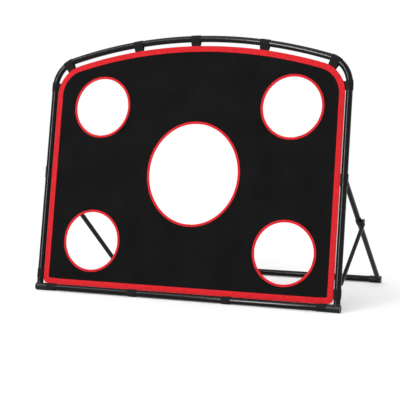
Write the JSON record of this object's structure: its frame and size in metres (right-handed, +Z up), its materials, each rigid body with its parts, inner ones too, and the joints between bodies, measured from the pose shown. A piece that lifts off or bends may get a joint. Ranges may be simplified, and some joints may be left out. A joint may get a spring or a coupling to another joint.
{
  "type": "golf chipping net",
  "caption": "Leaning arched tube frame with a dark target sheet, round and oval holes bound in red, and a folding rear stand.",
  "frame": {"origin": "on the floor, midway between the front rail's axis and the rear bar's axis, on the frame's centre line", "axes": "+X to the right as the player sees it, +Y away from the player, toward the rear bar, +Z up"},
  "size_m": [1.253, 0.689, 0.9881],
  "materials": {
    "black_tube": "gloss",
    "inner_steel": "satin",
    "moulded_fitting": "satin",
    "moulded_bracket": "satin",
    "dark_fastener": "satin",
    "sheet_fabric": "matt",
    "red_binding": "matt",
    "strap_webbing": "matt"
  },
  "bodies": {
    "frame": {"bottom_rail_left": "black_tube", "bottom_rail_right": "black_tube", "bottom_rail_sleeve": "inner_steel", "front_end_caps": "moulded_fitting", "front_tee_left": "moulded_fitting", "front_tee_right": "moulded_fitting", "upright_lower_left": "black_tube", "upright_lower_right": "black_tube", "upright_upper_left": "black_tube", "upright_upper_right": "black_tube", "upright_sleeves": "inner_steel", "arch_left": "black_tube", "arch_right": "black_tube", "arch_sleeve": "inner_steel", "target_sheet": "sheet_fabric", "border_binding": "red_binding", "hole_binding_top_left": "red_binding", "hole_binding_top_right": "red_binding", "hole_binding_bottom_left": "red_binding", "hole_binding_bottom_right": "red_binding", "hole_binding_centre": "red_binding", "top_straps": "strap_webbing", "side_straps_left": "strap_webbing", "side_straps_right": "strap_webbing", "bottom_straps": "strap_webbing", "upper_bracket_left": "moulded_bracket", "upper_bracket_right": "moulded_bracket", "upper_pivot_bolts": "dark_fastener", "upper_pivot_nuts": "dark_fastener", "lower_bracket_left": "moulded_bracket", "lower_bracket_right": "moulded_bracket", "hook_pins": "dark_fastener", "bracket_rivets": "dark_fastener"},
    "stand": {"strut_left": "black_tube", "strut_right": "black_tube", "strut_head_left": "moulded_bracket", "strut_head_right": "moulded_bracket", "strut_collar_left": "moulded_bracket", "strut_collar_right": "moulded_bracket", "brace_screws": "dark_fastener", "rear_tee_left": "moulded_fitting", "rear_tee_right": "moulded_fitting", "rear_bar_left": "black_tube", "rear_bar_right": "black_tube", "rear_bar_sleeve": "inner_steel", "rear_end_caps": "moulded_fitting"},
    "brace_left": {"brace_left": "black_tube", "brace_eye_left": "moulded_bracket", "brace_hook_left": "moulded_bracket"},
    "brace_right": {"brace_right": "black_tube", "brace_eye_right": "moulded_bracket", "brace_hook_right": "moulded_bracket"}
  },
  "joints": [
    {"name": "stand_fold", "type": "hinge", "parent": "frame", "child": "stand", "pos_m": [0, -0.22229, 0.45185], "axis": [-1, 0, 0], "range_deg": [0, 58]},
    {"name": "brace_left_fold", "type": "hinge", "parent": "stand", "child": "brace_left", "pos_m": [-0.6198, -0.01759, 0.28961], "axis": [1, 0, 0], "range_deg": [0, 98]},
    {"name": "brace_right_fold", "type": "hinge", "parent": "stand", "child": "brace_right", "pos_m": [0.6198, -0.01759, 0.28961], "axis": [1, 0, 0], "range_deg": [0, 98]}
  ],
  "couplings": [
    {"joint": "brace_left_fold", "follows": "stand_fold", "ratio": 1.6896},
    {"joint": "brace_right_fold", "follows": "stand_fold", "ratio": 1.6896}
  ]
}
